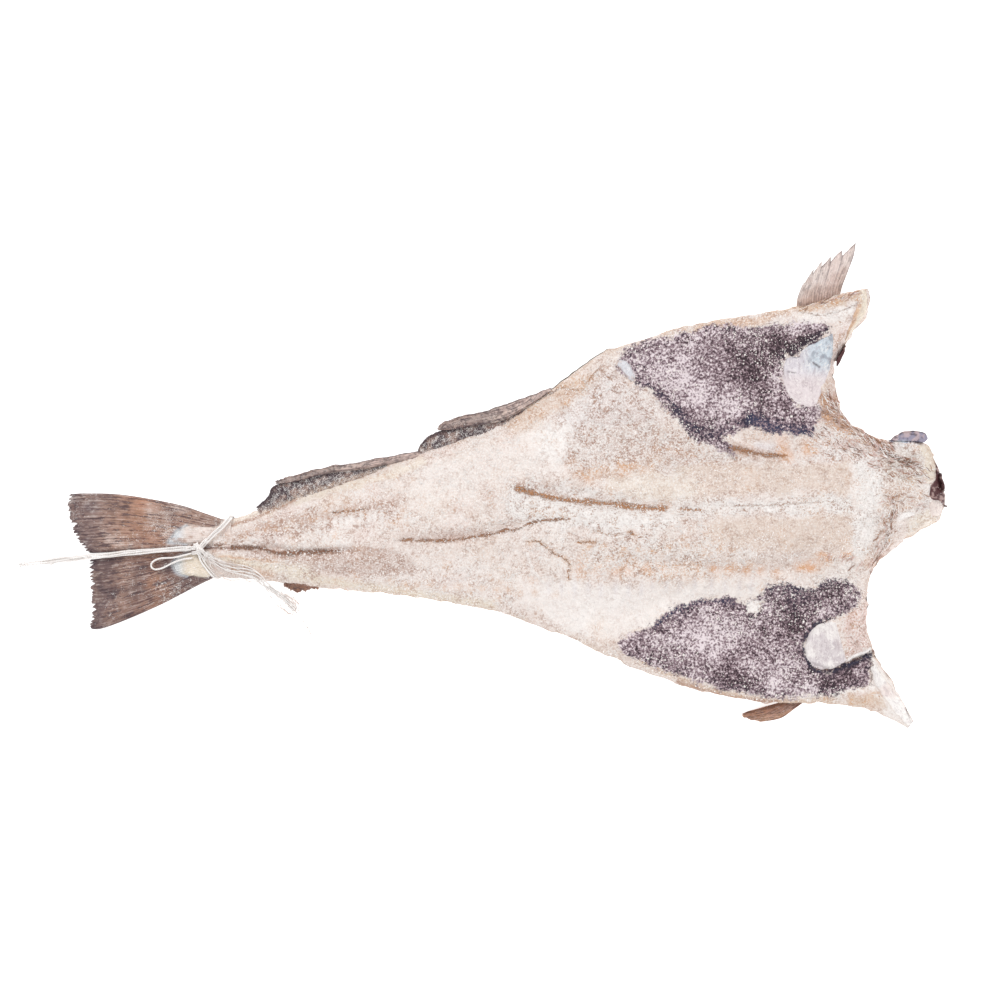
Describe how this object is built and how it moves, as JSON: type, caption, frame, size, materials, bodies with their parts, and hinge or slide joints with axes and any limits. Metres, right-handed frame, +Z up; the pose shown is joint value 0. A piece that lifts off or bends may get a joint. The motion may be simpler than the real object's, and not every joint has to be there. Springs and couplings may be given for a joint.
{
  "type": "salted dried cod",
  "caption": "Salted dried cod without its head, split and opened out flat with the flesh side up, its tail tied with loose-ended cotton twine.",
  "frame": {"origin": "middle of the fish's outline, without the loose twine, on the surface it lies on", "axes": "+X from the tail fin to the nape, +Y towards the long edge with the dorsal fins, +Z up, out of the flesh side"},
  "size_m": [0.6502, 0.342, 0.0289],
  "materials": {
    "dried_cod": "dry, matt and salt-crusted",
    "cotton_twine": "matt, twisted and frayed"
  },
  "bodies": {
    "root": {"cod": "dried_cod", "twine_tie": "cotton_twine", "twine_long_end": "cotton_twine", "twine_loop": "cotton_twine", "twine_short_end": "cotton_twine"}
  },
  "joints": []
}
